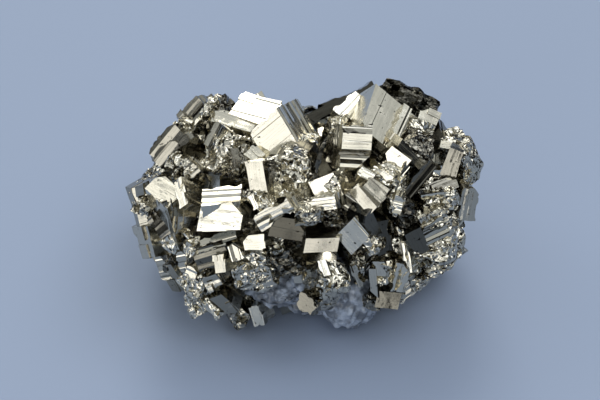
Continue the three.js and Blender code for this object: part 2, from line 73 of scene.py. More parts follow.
# ---- Crystals: middle of the main face, where it looks, roll, size, finish, tarnish if more than usual, which on some crystals is painted shade ----
# `looks` is the face's azimuth (0 is the front, 90 is +X) and elevation. `roll` turns the growth lines within
# the face. `size` is along the lines, across them, and the depth behind the face, in millimetres.
CRYSTALS = {
    "crown": ((-4, -8.5, 34.5), (-20, 30), 50, (6.5, 8, 10.5), "smooth/striated", 0.05),
    "crown_step": ((-7.5, -10, 33.5), (-5, 75), -40, (3, 2.5, 4), "smooth"),
    "heart": ((-2, -17.5, 34), (-12, 28), -75, (8, 8, 9.5), "rough", 0.05),
    "stripe_slab": ((-4.5, -24, 32.5), (-22, 22), 40, (8, 3, 9), "ridged", 0.1),
    "warm_right": ((2.5, -22.5, 33), (-20, 28), 20, (7, 2.5, 4), "striated", 0),
    "cool_plate": ((9, 1.5, 33.5), (30, 65), 25, (6, 4.5, 4.5), "striated", 0),
    "great_grey": ((15, -4, 34.5), (52, 56), 20, (9, 9.5, 8), "smooth", 0),
    "white_cap": ((15.5, -12.5, 34), (-14, 28), -25, (4, 3, 4), "smooth", 0),
    "column": ((9, -10, 34.5), (10, 45), -10, (5.5, 8.5, 9.5), "ridged", 0.45),
    "slant_block": ((11, -15, 33.5), (40, 65), -60, (3, 2.5, 3), "striated"),
    "olive_band": ((20, -10, 34.5), (40, 50), -65, (5.5, 5, 4), "rough", 0.75),
    "right_shoulder": ((28.5, -9, 29.5), (30, 15), -90, (8, 4, 7), "rough", 0.2),
    "right_low": ((28, -12.5, 24), (20, 15), 75, (6, 3.5, 4), "striated", 0.35),
    "wedge": ((23, -16.5, 28.5), (5, 30), 5, (6.5, 4, 5), "rough", 0.05),
    "mid_grey": ((8.5, -22.5, 26.5), (-21, 17), -40, (4, 5, 3), "smooth", 0.05),
    "knob": ((15, -20, 30), (-15, 16), -5, (2.5, 4.5, 4), "rough", 0.15),
    "lens": ((10, -20, 32), (-27, 33), -30, (5, 2, 3), "smooth", 0.25),
    "left_white": ((-22, -16, 31), (-70, 78), 25, (6.5, 4, 5), "smooth"),
    "left_beige": ((-19.5, -18, 32), (-55, 55), -25, (5.5, 2, 3.5), "striated"),
    "dark_face": ((-18, -19.5, 27.5), (40, 20), -15, (3.5, 4.5, 4), "smooth", 0.4),
    "milky_white": ((-12.5, -23.5, 31.5), (-14, 33), 5, (7, 4.5, 8), "smooth", 0),
    "gold_beam": ((-14, -22.5, 25.5), (-20, 55), 30, (8, 2.5, 5), "striated", 0.3),
    "white_small": ((-7.5, -24, 26.5), (-15, 25), 15, (3.5, 2.5, 3), "smooth"),
    "small_cube": ((-10.5, -25, 25), (-18, 28), -65, (3, 2.5, 4), "striated", 0),
    "slate": ((-12.5, -23, 11), (-5, 0), 35, (2.5, 4.5, 3.5), "smooth", 0.5),
    "grey_rough": ((-8, -23, 16.5), (-5, -5), 20, (7.5, 8, 7.5), "rough"),
    "front_cube": ((1, -26, 14.5), (-24, 26), -20, (3.5, 3, 4), "smooth/rough", 0.75),
    "front_rough": ((6, -25, 20.5), (30, 55), 85, (5.5, 5, 9.5), "rough"),
    "beige_top": ((3.5, -23, 25), (-3, 27), 0, (5.5, 2.5, 3), "smooth", 0.35),
    "tan_rough": ((14, -22, 17), (5, 12), -85, (5, 3.5, 4), "rough", 0.15),
    "horn_top": ((-18, 1, 33), (-35, 45), 70, (6, 5, 6), "ridged", 0.6),
    "horn_low": ((-22, -4.5, 30.5), (-35, 40), 70, (8, 4.5, 6), "ridged", 0.65),
    "grey_slab": ((-11, -1, 33), (-5, 75), -20, (7.5, 3, 5), "smooth"),
    "rough_hump": ((-14.5, -8.5, 33), (-65, 40), -75, (8, 6, 7), "rough", 0.15),
    "bottom_green": ((-7.5, -21.5, 7), (-20, 20), -65, (3.5, 2, 3), "smooth", 0.1),
    "back_ridge": ((7, 4.5, 32), (0, 45), 20, (14, 2.5, 7), "ridged", 1),
    "roof_dark": ((18.5, 4.5, 33.5), (20, 55), -40, (11, 5, 6), "rough", 1),
    "brown_face": ((19, -20.5, 23), (10, 15), -70, (5, 3, 3), "smooth", 0.9),
    "low_grey": ((23, -20, 19), (15, 5), 90, (3, 2.5, 3), "rough"),
    "right_wall": ((26, -17.5, 19.5), (75, 0), 45, (6.5, 9.5, 7.5), "rough", 0.2),
    "dark_stripe": ((-22.5, -19, 26), (-30, 35), 55, (4, 5.5, 4.5), "ridged", 0.8),
    "left_shelf": ((-26, -9.5, 27), (-140, 60), 0, (5, 4.5, 4.5), "smooth", 0.5),
    "low_left": ((-26, -15.5, 18.5), (-55, 5), 40, (5, 5.5, 5), "smooth"),
    "top_dome": ((-14.5, 4, 32), (-10, 55), 20, (4.5, 4, 6), "rough", 0.9),
    "back_white": ((-7.5, 1.5, 33.5), (10, 86), -30, (7, 6, 6), "smooth", 0),
    "gold_gap": ((-9, -11, 32.5), (20, 38), 85, (5, 4, 5), "rough", 0.6),
    "pale_knob": ((-21, -9.5, 31.5), (-20, 45), 30, (3.5, 3, 4), "rough"),
    "small_grey": ((-18.5, -13.5, 32), (0, 30), 40, (4.5, 3.5, 4), "rough", 0.3),
    "left_rough": ((-27, -13, 25.5), (-40, 20), 30, (4.5, 5.5, 5), "rough", 0.4),
    "left_tuft": ((-25, -16.5, 27), (-10, 30), 60, (4, 4, 4), "rough", 0.4),
    "white_knots": ((-21.5, -21, 23), (-22, 28), -60, (3, 3.5, 4), "rough", 0),
    "knot_upper": ((-18.5, -22, 26), (-20, 28), -15, (2, 1.5, 3), "rough", 0),
    "knot_lower": ((-18, -24, 24.5), (-20, 28), -60, (3, 2.5, 3), "rough", 0),
    "low_strip": ((-18, -22, 14.5), (-22, 28), -50, (5.5, 5, 4), "rough", 0),
    "low_bits": ((-17.5, -23, 18), (-20, 28), -10, (3, 2.5, 4), "rough", 0),
    "low_olive": ((-13, -21.5, 9.5), (-15, 10), 40, (4.5, 3, 4), "smooth", 0.6),
    "low_rough": ((-15, -22.5, 9.5), (-20, 28), -35, (4.5, 2.5, 4), "rough", 0),
    "gold_stripes": ((-14.5, -23, 16.5), (-15, 20), 30, (3.5, 3.5, 4), "ridged", 0.3),
    "beige_slip": ((-13, -26, 23.5), (-25, 25), -65, (3, 2, 3), "smooth", 0.1),
    "white_rough": ((-7.5, -23.5, 23), (-20, 30), -15, (3.5, 2.5, 4), "rough", 0),
    "bottom_brown": ((-10, -20, 4.5), (10, 25), -60, (3.5, 3.5, 6), "rough", 0.4),
    "bottom_rough": ((-6.5, -20, 5.5), (20, 20), 10, (3.5, 4, 5), "rough"),
    "dark_rough": ((-2, -22, 19), (10, 20), 30, (4.5, 6, 5), "rough", 0.85),
    "tiny_knob": ((-4, -22, 24.5), (0, 40), 20, (3, 3, 4), "rough"),
    "small_foot": ((-8.5, -19.5, 32), (-20, 40), 40, (2.5, 2.5, 3), "rough"),
    "slab_front": ((1.5, -24.5, 32), (5, 15), 5, (5, 3, 4), "rough", 0.45),
    "slab_grey": ((-2, -24, 29.5), (-3, 25), -10, (5.5, 3.5, 5), "smooth", 0.95),
    "small_top": ((5.5, -2.5, 33), (-40, 50), 20, (2.5, 4, 4), "rough"),
    "dark_long": ((19.5, -14.5, 31.5), (10, 30), 45, (7, 2.5, 2), "striated", 0.85),
    "grey_wing": ((21.5, -1, 33.5), (20, 45), -40, (3.5, 3, 4), "smooth", 0.1),
    "black_bit": ((24.5, 0, 29.5), (90, 30), 10, (4, 4, 4), "smooth", 0.8),
    "right_bits": ((25.5, -6.5, 32.5), (0, 50), -10, (5, 2.5, 5), "rough", 0.2),
    "right_top": ((27, -3, 29.5), (30, 60), 35, (4, 3, 4), "rough"),
    "right_block": ((22, -19.5, 25.5), (10, 20), 20, (6, 6, 6), "rough", 0.3),
    "right_lower": ((23.5, -19, 20), (20, 15), 60, (5, 5, 6), "rough"),
    "right_foot": ((22.5, -20, 16), (15, 10), 30, (4, 3.5, 4), "rough", 0.2),
    "corner_bits": ((20, -21.5, 14.5), (10, 20), 10, (3.5, 3, 4), "rough", 0.3),
    "low_middle": ((18.5, -22, 18), (-10, 10), 70, (5, 3, 4), "rough", 0.5),
    "pale_column": ((17, -23, 22), (-26, 22), -70, (5.5, 1.5, 4), "striated", 0),
    "pale_low": ((16.5, -23, 17.5), (10, 5), 80, (6, 2.5, 4), "striated"),
    "dark_columns": ((14, -21.5, 25), (30, 20), 85, (6.5, 3.5, 4), "ridged", 0.95),
    "knob_dark": ((17.5, -19, 27), (20, 10), -85, (6.5, 2.5, 5), "rough", 0.95),
    "tan_foot": ((15.5, -21.5, 11), (10, 10), 20, (4.5, 3.5, 4), "rough", 0.2),
    "foot_brown": ((12, -22, 9.5), (10, 10), -35, (3.5, 3, 4), "rough", 0.6),
    "heart_rim": ((-7, -18.5, 35.5), (-24, 33), -70, (5, 3, 5), "smooth", 0.1),
    "heart_right": ((4, -19.5, 34), (-15, 28), 30, (4.5, 4, 6), "smooth", 0),
    "milky_top": ((-12.5, -20.5, 33.5), (0, 88), 5, (6.5, 4, 1), "striated", 0.15),
    "grey_band": ((16.5, -5.5, 35), (40, 65), 30, (9.5, 2, 3), "striated", 0),
    "back_left": ((-24, -1, 27), (-70, 45), 20, (4, 5, 5), "rough", 0.5),
    "mid_rough": ((11, -23, 24.5), (-15, 15), -50, (4, 3.5, 4), "rough", 0.15),
    "heart_top": ((-2, -16, 37.5), (-10, 60), 15, (7.5, 1.5, 6), "rough", 0.1),
    # heart_crease's last value is set high as painted shade: it darkens the crystal to stand for the shadow in the
    # crease beside the heart.
    "heart_crease": ((2, -19, 36), (-10, 15), 80, (6, 1, 4), "ridged", 0.9),
    "brown_band": ((3.5, -13, 33.5), (40, 25), -70, (6.5, 2.5, 1.5), "smooth", 0.8),
    "mid_lip": ((8.5, -21, 29), (-15, 40), 5, (3.5, 1, 3), "rough", 0),
    "lens_gold": ((12, -18, 32), (20, 45), -55, (4, 3.5, 3), "smooth", 0.55),
    "great_end": ((20.5, -4.5, 34.5), (50, 50), 20, (3.5, 4, 5), "rough", 0.15),
    "cap_rough": ((14, -14.5, 33), (-20, 30), -15, (4, 2.5, 4), "rough", 0),
    "cap_side": ((17, -14.5, 33), (30, 25), 30, (3.5, 1.5, 4), "striated", 0),
    "shoulder_face": ((24.5, -11, 31), (-5, 25), 75, (6, 2.5, 4), "smooth", 0.55),
    "wedge_top": ((22.5, -14, 29.5), (10, 55), 15, (7.5, 2.5, 4), "ridged", 0.85),
    "gold_front": ((-14.5, -24, 23), (0, 8), 20, (6.5, 4.5, 4), "ridged", 0.85),
    "heart_rim_low": ((-6.5, -22, 33), (-16, 24), -60, (4, 3.5, 5), "rough", 0),
    "left_dark": ((-23, -10.5, 9), (-20, 15), -60, (4.5, 4.5, 4), "rough", 0.8),
    "left_grey": ((-22, -11, 5.5), (-30, -5), -65, (6, 3.5, 4), "smooth", 0.3),
    "gold_strip": ((-20.5, -20.5, 28.5), (20, 20), -85, (6.5, 1.5, 3), "striated", 0.45),
    "dark_brown": ((12, -21.5, 26.5), (40, 5), -65, (9, 2.5, 1), "smooth", 0.9),
    "tan_strip": ((12, -22, 15), (-26, 12), -75, (6, 1.5, 3), "smooth", 0.2),
    "olive_edge": ((18, -11.5, 34), (15, 25), -50, (6, 1.5, 3), "smooth", 0.35),
    "gold_rough": ((14, -16.5, 32.5), (-15, 28), -30, (4, 3, 4), "rough", 0.15),
    "tan_low": ((14.5, -22.5, 12), (-3, 26), -5, (4, 3, 4), "smooth", 0.8),
    # crease_left's last value is set high as painted shade: it darkens the crystal to stand for the shadow in the
    # crease at the heart's left rim.
    "crease_left": ((-5.5, -20, 36), (-24, 15), -80, (6, 1, 2), "ridged", 0.9),
    "horn_bits": ((-16.5, -1, 34), (-25, 25), 60, (5, 1.5, 3), "rough", 0),
    "horn_grains": ((-22, -2.5, 31), (-25, 25), 65, (5, 1, 3), "rough", 0),
    "column_dark": ((9, -9, 37), (10, 45), -10, (5.5, 1.5, 2), "ridged", 0.9),
    "column_band": ((8.5, -11.5, 34.5), (10, 45), -10, (5.5, 1, 2), "ridged", 0.9),
    # dark_gap's last value is set high as painted shade: it darkens the crystal to stand for the shade in the gap
    # under the heart, by the quartz.
    "dark_gap": ((-3, -16, 8.5), (0, 10), -20, (4.5, 4, 5), "rough", 0.95),
    "quartz_bits": ((6.5, -21.5, 8.5), (-10, 25), -20, (2.5, 1.5, 4), "rough", 0),
    "front_fill": ((10, -20.5, 16.5), (10, 20), -75, (6, 3, 5), "rough", 0.3),
    "corner_rough": ((-17, -21, 9), (-20, 20), -55, (4, 4.5, 5), "rough", 0.05),
    "white_bits": ((12, -15, 33.5), (-15, 30), -10, (2.5, 1.5, 3), "rough", 0),
    # gap_dark's last value is set high as painted shade: it darkens the crystal to stand for the shade in a gap
    # between the back crystals.
    "gap_dark": ((3, 0.5, 28.5), (30, 20), -75, (3, 2, 3), "rough", 0.95),
    "heart_bits": ((5, -20, 35), (-14, 26), -35, (2.5, 2.5, 3), "rough", 0),
    "horn_sparks": ((-19.5, -2, 32), (-25, 25), 65, (2, 3.5, 3), "rough", 0),
}

# Those with no smaller ones grown beside them.
PLAIN = ("crown", "column", "great_grey", "cool_plate", "grey_band", "mid_grey", "lens", "slab_grey",
         "right_shoulder", "dark_brown", "dark_long", "tan_strip", "olive_edge", "milky_white",
         "milky_top", "gold_front", "tan_low", "low_olive", "brown_face", "column_dark", "column_band", "crease_left",
         "white_cap", "beige_top", "heart_rim", "front_cube")

# Solid blocks inside the mass that all crystals are rooted in: middle, size and turn in degrees.
ROOTS = (
    ((1, -1, 11), (32, 17, 22), (0, 0, 0)),
    ((1, -1, 13), (40, 12, 12), (15, 5, 5)),
    ((2, -1, 11), (22, 23, 16), (5, -10, 20)),
    ((-11, -4, 19), (14, 14, 13), (25, 30, 15)),
    ((13, -4, 19), (14, 15, 13), (-20, 30, 40)),
    ((2.5, -14, 16), (7, 12, 5), (0, 0, 0)),
)

# The mass of small crystals that the listed ones stand on, and how those are spread over it.
CLUSTER_CENTRE = (1, -1, 13.5)
CLUSTER_REACH = (28.5, 18.5, 16)
CLUSTER_POWER = 2.6  # 2 is an ellipsoid, higher is boxier
FILLER_COUNT = 115
FILLER_SIZE = (4.5, 9)
FINISHES = ("striated", "rough", "smooth", "rough", "striated")  # taken in turn
FILLER_SINK = (0.5, 2.5)  # how far their faces lie below the mass's surface
FRONT_SINK = 2  # more, where the listed crystals stand in front
AZIMUTH_SPREAD = 60  # degrees that a face may turn from the mass's surface
ELEVATION_SPREAD = 50

# Rounded lumps of the quartz: middle and radii in millimetres.
QUARTZ_LUMPS = (
    ((8, -15, 6.5), (6, 6, 6.5)),
    ((3, -16, 12), (4.5, 6, 5)),
    ((-3.5, -15.5, 9), (6, 5, 2.5)),
    ((3, -12, 5), (9, 4.5, 5)),
)


# ---- Settings ----
class PyriteSettings(bpy.types.PropertyGroup):
    """Sizes and colours of the pyrite."""
    line_pitch: bpy.props.FloatProperty(
        name="Line pitch", description="Usual distance between growth lines", default=0.8 * MM, unit="LENGTH")
    line_depth: bpy.props.FloatProperty(
        name="Line depth", description="Deepest growth step", default=0.5 * MM, unit="LENGTH")
    terrace_rise: bpy.props.FloatProperty(
        name="Terrace rise", description="Highest step where crystals grew side by side", default=0.35 * MM,
        unit="LENGTH")
    cell_size: bpy.props.FloatProperty(
        name="Cell size", description="Usual facet on a rough face", default=0.6 * MM, unit="LENGTH")
    cell_depth: bpy.props.FloatProperty(
        name="Cell depth", description="Depth of a rough face's hollows", default=0.5 * MM, unit="LENGTH")
    rooting: bpy.props.FloatProperty(
        name="Rooting", description="How much deeper each crystal reaches into the mass", default=3 * MM,
        unit="LENGTH")
    metal: bpy.props.StringProperty(name="Metal", description="Reflected colour, sRGB hex", default="#D2CDBD")
    # The tarnish colour also darkens the crystals that stand for shade in creases and gaps, and the sunk fillers:
    # there it is painted shade.
    tarnish_and_shade: bpy.props.StringProperty(name="Tarnish", description="Tarnished colour, sRGB hex", default="#46443D")
    # The pit colour is painted shade: near-black specks that stand for the shade inside small pits.
    pits: bpy.props.StringProperty(name="Pits", description="Colour deep in the pits, sRGB hex", default="#1E1A15")


class QuartzSettings(bpy.types.PropertyGroup):
    """Sizes and colours of the quartz."""
    lump_height: bpy.props.FloatProperty(
        name="Lump height", description="Height of its uneven surface", default=0.8 * MM, unit="LENGTH")
    milk: bpy.props.StringProperty(name="Milk", description="Milky colour, sRGB hex", default="#A9B4C4")


class StageSettings(bpy.types.PropertyGroup):
    """Floor, light and camera."""
    floor: bpy.props.StringProperty(name="Floor", description="Floor colour, sRGB hex", default="#8F9CB2")
    camera_distance: bpy.props.FloatProperty(
        name="Camera distance", description="From the specimen's middle", default=345 * MM, unit="LENGTH")
    camera_elevation: bpy.props.FloatProperty(
        name="Camera elevation", description="Above the horizon", default=math.radians(42), subtype="ANGLE")


# ---- Helpers ----
BATCH = 100  # pieces joined at a time


def linear(hexcode):
    """A linear RGBA colour from an sRGB hex value."""
    values = [int(hexcode[place:place + 2], 16) / 255 for place in (1, 3, 5)]
    return [v / 12.92 if v <= 0.04045 else ((v + 0.055) / 1.055) ** 2.4 for v in values] + [1.0]


def scatter(index):
    """A repeatable number from 0 to 1 for a whole number."""
    value = math.sin(index * 12.9898) * 43758.5453
    return value - math.floor(value)


def between(limits, index):
    return limits[0] + (limits[1] - limits[0]) * scatter(index)


def placement(at, looks, roll):
    """The matrix from a crystal's own axes (along, across, out of the main face) to where it looks."""
    azimuth, elevation, turn = (math.radians(angle) for angle in (*looks, roll))
    out = Vector((
        math.sin(azimuth) * math.cos(elevation),
        -math.cos(azimuth) * math.cos(elevation),
        math.sin(elevation),
    ))
    level = Vector((math.cos(azimuth), math.sin(azimuth), 0))
    along = level * math.cos(turn) + out.cross(level) * math.sin(turn)
    axes = Matrix((along, out.cross(along), out)).transposed()
    return Matrix.Translation(at) @ axes.to_4x4()


def turned(middle, turn):
    """The matrix of a block turned about X, then Y, then Z."""
    x, y, z = (math.radians(angle) for angle in turn)
    rotation = Matrix.Rotation(z, 4, "Z") @ Matrix.Rotation(y, 4, "Y") @ Matrix.Rotation(x, 4, "X")
    return Matrix.Translation(middle) @ rotation


def deselect():
    if bpy.context.object and bpy.context.object.mode != "OBJECT":
        bpy.ops.object.mode_set(mode="OBJECT")
    bpy.ops.object.select_all(action="DESELECT")


def copied(piece, matrix):
    """A copy with its own mesh, moved by the matrix and kept out of the scene, where it would slow each step."""
    copy = piece.copy()
    copy.data = piece.data.copy()
    copy.data.transform(matrix)
    return copy


def put_aside(piece):
    """Takes a piece out of the scene until it is joined."""
    bpy.context.collection.objects.unlink(piece)
    return piece


def joined(pieces):
    """Joins pieces that were kept out of the scene into the first, in batches when they are many."""
    if len(pieces) > BATCH:
        starts = range(0, len(pieces), BATCH)
        return joined([put_aside(joined(pieces[start:start + BATCH])) for start in starts])
    for piece in pieces:
        bpy.context.collection.objects.link(piece)
    deselect()
    for piece in pieces:
        piece.select_set(True)
    bpy.context.view_layer.objects.active = pieces[0]
    bpy.ops.object.join()
    return pieces[0]


def apply_nodes(piece, tree):
    """Runs a geometry-node tree on a piece and keeps the result."""
    deselect()
    bpy.context.view_layer.objects.active = piece
    modifier = piece.modifiers.new("Solids", "NODES")
    modifier.node_group = tree
    bpy.ops.object.modifier_apply(modifier=modifier.name)


def add_node(tree, kind, links=(), **settings):
    """Adds a node, sets its properties and sockets, and links its inputs: (input, node, output)."""
    node = tree.nodes.new(kind)
    for name, value in settings.items():
        if hasattr(node, name):
            setattr(node, name, value)
        else:
            node.inputs[name.replace("_", " ")].default_value = value
    for socket, source, output in links:
        tree.links.new(source.outputs[output], node.inputs[socket])
    return node


def solids_tree(operation):
    """Geometry nodes that unite or intersect all the closed pieces of a mesh."""
    tree = bpy.data.node_groups.new(f"{operation.title()} of solids", "GeometryNodeTree")
    tree.interface.new_socket("Geometry", in_out="INPUT", socket_type="NodeSocketGeometry")
    tree.interface.new_socket("Geometry", in_out="OUTPUT", socket_type="NodeSocketGeometry")
    mesh = add_node(tree, "NodeGroupInput")
    island = add_node(tree, "GeometryNodeInputMeshIsland")
    pieces = add_node(
        tree, "GeometryNodeSplitToInstances", domain="POINT",
        links=[("Geometry", mesh, 0), ("Group ID", island, "Island Index")])
    result = add_node(
        tree, "GeometryNodeMeshBoolean", operation=operation, solver="MANIFOLD", links=[(1, pieces, 0)])
    add_node(tree, "NodeGroupOutput", links=[(0, result, 0)])
    return tree


def new_material(name):
    material = bpy.data.materials.new(name)
    material.use_nodes = True
    material.node_tree.nodes.clear()
    return material


# ---- Crystals ----
LEAN = 0.16  # how far a crystal's sides may be out of square, as a slope
CUT_SHARE = 0.6  # of the crystals that lack a corner
LINES = {"striated": (1, 1), "ridged": (2, 2), "smooth": (4, 0.3)}  # pitch and depth, against the usual ones
LINING = {"striated": 1, "ridged": 1, "rough": 1, "smooth": 0.25}  # how strong the fine growth lines are


def ribs(low, high, bands, depth, rng):
    """Points across a face: flat bands parted by slopes as steep as between cube and pyritohedron."""
    rises = [-depth * rng.random() for _ in range(bands)]
    runs = [abs(after - before) * 2 + 0.02 for before, after in zip(rises, rises[1:])] + [0]
    squeeze = min(1, 0.5 * (high - low) / max(0.01, sum(runs)))
    flats = [rng.choice((0.4, 0.7, 1, 1.6, 2.6)) * rng.uniform(0.7, 1.3) for _ in rises]
    share = (high - low - sum(runs) * squeeze) / sum(flats)
    points, side = [], low
    for rise, run, flat in zip(rises, runs, flats):
        points.append((side, rise * squeeze))
        side += flat * share
        points.append((side, rise * squeeze))
        side += run * squeeze
    return points


def leaning(out, along, across, rng):
    """The axes of a slab that looks along `out`, leaning a little, since faces that grew together aren't square."""
    out = (out + rng.uniform(-LEAN, LEAN) * along + rng.uniform(-LEAN, LEAN) * across).normalized()
    along = (along - along.dot(out) * out).normalized()
    return along, out.cross(along), out


class CrystalMaker:
    """Makes crystals from a few slabs that are modelled once and copied."""

    BANDS = (2, 4, 7, 11, 16)
    CELLS = (4, 7, 10, 14, 18)

    def __init__(self, settings, materials):
        self.pitch = settings.line_pitch / MM
        self.depth = settings.line_depth / MM
        self.rise = settings.terrace_rise / MM
        self.cell = settings.cell_size / MM
        self.cell_depth = settings.cell_depth / MM
        self.rooting = settings.rooting / MM
        self.lined = {bands: self.model_slab(1, 2 * bands - 1) for bands in self.BANDS}
        self.celled = {cells: self.model_slab(cells, cells) for cells in self.CELLS}
        for piece in self.lined.values():
            piece.data.materials.append(materials["smooth"])
        for piece in self.celled.values():
            piece.data.materials.append(materials["rough"])
        self.overlap = solids_tree("INTERSECT")
        self.bodies = []

    @staticmethod
    def model_slab(columns, rows):
        """A slab of cells, whose copies are shaped to the growth lines or to the roughness."""
        deselect()
        bpy.ops.mesh.primitive_grid_add(x_subdivisions=columns, y_subdivisions=rows, size=1)
        bpy.ops.object.mode_set(mode="EDIT")
        bpy.ops.mesh.select_all(action="SELECT")
        bpy.ops.mesh.extrude_region_move(TRANSFORM_OT_translate={"value": (0, 0, 1)})
        bpy.ops.mesh.normals_make_consistent(inside=False)
        bpy.ops.object.mode_set(mode="OBJECT")
        return bpy.context.object

    def lined_slab(self, sides, fine, deep, upper, lower, reach, rng):
        """Parallel strips: they run `reach` each way, lie side by side between `sides`, and have two heights."""
        low, high = sides
        wanted = (high - low) / (self.pitch * fine)
        bands = min(self.BANDS, key=lambda count: abs(count - wanted))
        piece = copied(self.lined[bands], Matrix.Identity(4))
        tops = ribs(low, high, bands, self.depth * deep, rng)
        bottoms = ribs(low, high, bands, self.depth * deep, rng)
        for v in piece.data.vertices:
            row = round((v.co.y + 0.5) * (2 * bands - 1))
            side, rise = tops[row] if v.co.z > 0.5 else bottoms[row]
            v.co = (math.copysign(reach, v.co.x), side, upper + rise if v.co.z > 0.5 else lower - rise)
        return piece

    def rough_slab(self, sides, upper, lower, reach, rng):
        """Cells with uneven corners and small ledges, as on a rough face."""
        low, high = sides
        wanted = math.sqrt(2 * reach * (high - low)) / self.cell
        cells = min(self.CELLS, key=lambda count: abs(count - wanted))
        piece = copied(self.celled[cells], Matrix.Identity(4))
        offset = Vector([rng.uniform(-50, 50) for _ in range(3)])
        step_x, step_y = 2 * reach / cells, (high - low) / cells
        for v in piece.data.vertices:
            top = v.co.z > 0.5
            inside = abs(v.co.x) < 0.49 and abs(v.co.y) < 0.49
            wander = 0.38 if inside else 0
            x = 2 * reach * v.co.x + wander * step_x * rng.uniform(-1, 1)
            y = low + (high - low) * (v.co.y + 0.5) + wander * step_y * rng.uniform(-1, 1)
            swell = noise.noise(Vector((x * 0.35, y * 0.9, 9 * top)) + offset)
            ledge = math.floor(swell * 6) / 3
            pit = 1.6 if rng.random() < 0.05 else 0
            rise = self.cell_depth * (min(0, ledge) - 0.5 * rng.random() ** 1.5 - pit)
            v.co = (x, y, upper + rise if top else lower - rise)
        return piece

    def slab(self, kind, sides, upper, lower, reach, axes, rng):
        """One slab: its flat sides face `upper` and `lower`, in the crystal's own axes."""
        if kind == "rough":
            piece = self.rough_slab(sides, upper, lower, reach, rng)
        else:
            piece = self.lined_slab(sides, *LINES[kind], upper, lower, reach, rng)
        shift = (rng.uniform(-40, 40), rng.uniform(-40, 40))
        points = piece.data.vertices
        for loop, corner in zip(piece.data.loops, piece.data.uv_layers[0].data):
            x, y, _ = points[loop.vertex_index].co
            corner.uv = (x + shift[0], y + shift[1])
        # Each face carries its crystal's tarnish, which on crease, gap and sunk filler crystals is painted shade, and
        # how strong its lines are.
        for name, value in (("tarnish_and_shade", self.tarnish_and_shade), ("lining", LINING[kind])):
            attribute = piece.data.attributes.new(name, "FLOAT", "FACE")
            attribute.data.foreach_set("value", [value] * len(piece.data.polygons))
        piece.data.transform(Matrix(axes).transposed().to_4x4())
        return piece

    def body(self, matrix, size, main, sides, rng):
        """The overlap of three slabs, each with its lines along another axis, less a corner."""
        along, across, deep = size
        a, b, c = Vector((1, 0, 0)), Vector((0, 1, 0)), Vector((0, 0, 1))
        x, y, spare = along / 2, across / 2, 0.6
        wide = 0.2 * deep + spare
        parts = [
            self.slab(main, (-y - wide, y + wide), 0, -deep, x + wide, (a, b, c), rng),
            self.slab(sides, (-deep - spare, spare), x, -x, y + wide, leaning(a, b, c, rng), rng),
            self.slab(sides, (-x - wide, x + wide), y, -y, deep + spare, leaning(b, c, a, rng), rng),
        ]
        if rng.random() < CUT_SHARE:
            cut = Vector((rng.choice((-1, 1)), rng.choice((-1, 1)), 0.4 * rng.random())).normalized()
            corner = x * abs(cut.x) + y * abs(cut.y)
            reach = along + across + deep
            aslant = Vector((cut.y, -cut.x, 0)).normalized()
            parts.append(self.slab(
                sides, (-reach, reach), corner * rng.uniform(0.55, 0.85), -reach, reach,
                (aslant, cut.cross(aslant), cut), rng))
        body = joined(parts)
        apply_nodes(body, self.overlap)
        if main == "rough":
            self.wear_down(body, size, rng)
        body.data.transform(matrix)
        self.bodies.append(put_aside(body))

    @staticmethod
    def wear_down(body, size, rng):
        """Pulls the corners and swells of a rough crystal out of true."""
        offset = Vector([rng.uniform(-50, 50) for _ in range(3)])
        middle = Vector((0, 0, -size[2] / 2))
        for v in body.data.vertices:
            out = v.co - middle
            corner = abs(out.x * 2 / size[0]) * abs(out.y * 2 / size[1])
            if out.z > 0:
                corner += abs(out.z * 2 / size[2]) * max(abs(out.x * 2 / size[0]), abs(out.y * 2 / size[1]))
            v.co = middle + out * (1 - 0.07 * corner) + noise.noise_vector(v.co * 0.35 + offset) * 0.7

    def crystal(self, entry, terraces, seed):
        """One crystal, with smaller ones grown side by side with it."""
        at, looks, roll, size, finish, *rest = entry
        main, _, sides = finish.partition("/")
        sides = sides or main
        rng = random.Random(seed)
        # The crystal's tarnish; where it is set high on crease and gap crystals it is painted shade.
        self.tarnish_and_shade = rest[0] if rest else rng.uniform(0, 0.25)
        matrix = placement(at, looks, roll)
        along, across, deep = size
        low = self.rise if terraces else 0
        matrix_low = matrix @ Matrix.Translation((0, 0, -low))
        self.body(matrix_low, (along, across, deep - low + self.rooting), main, sides, rng)
        for _ in range(terraces):
            part = [side * rng.uniform(0.35, 0.8) for side in size]
            grown = rng.choice(("striated", main, main)) if main == "rough" else main
            rises = [rng.uniform(-0.3, 1) * self.rise for _ in range(3)]
            shift = (
                math.copysign((along - part[0]) / 2 + rises[0] * 0.5, rng.random() - 0.5),
                math.copysign((across - part[1]) / 2 + rises[1] * 0.5, rng.random() - 0.5),
                min(0, -self.rise + rises[2]),
            )
            self.body(matrix @ Matrix.Translation(shift), part, grown, grown, rng)

    def finish(self):
        """Joins all into one solid."""
        for middle, size, turn in ROOTS:
            deselect()
            bpy.ops.mesh.primitive_cube_add(size=1)
            root = bpy.context.object
            root.data.transform(turned(middle, turn) @ Matrix.Diagonal((*size, 1)))
            root.data.materials.append(self.lined[2].data.materials[0])
            self.bodies.append(put_aside(root))
        for piece in (*self.lined.values(), *self.celled.values()):
            bpy.data.objects.remove(piece)
        whole = joined(self.bodies)
        apply_nodes(whole, solids_tree("UNION"))
        return whole


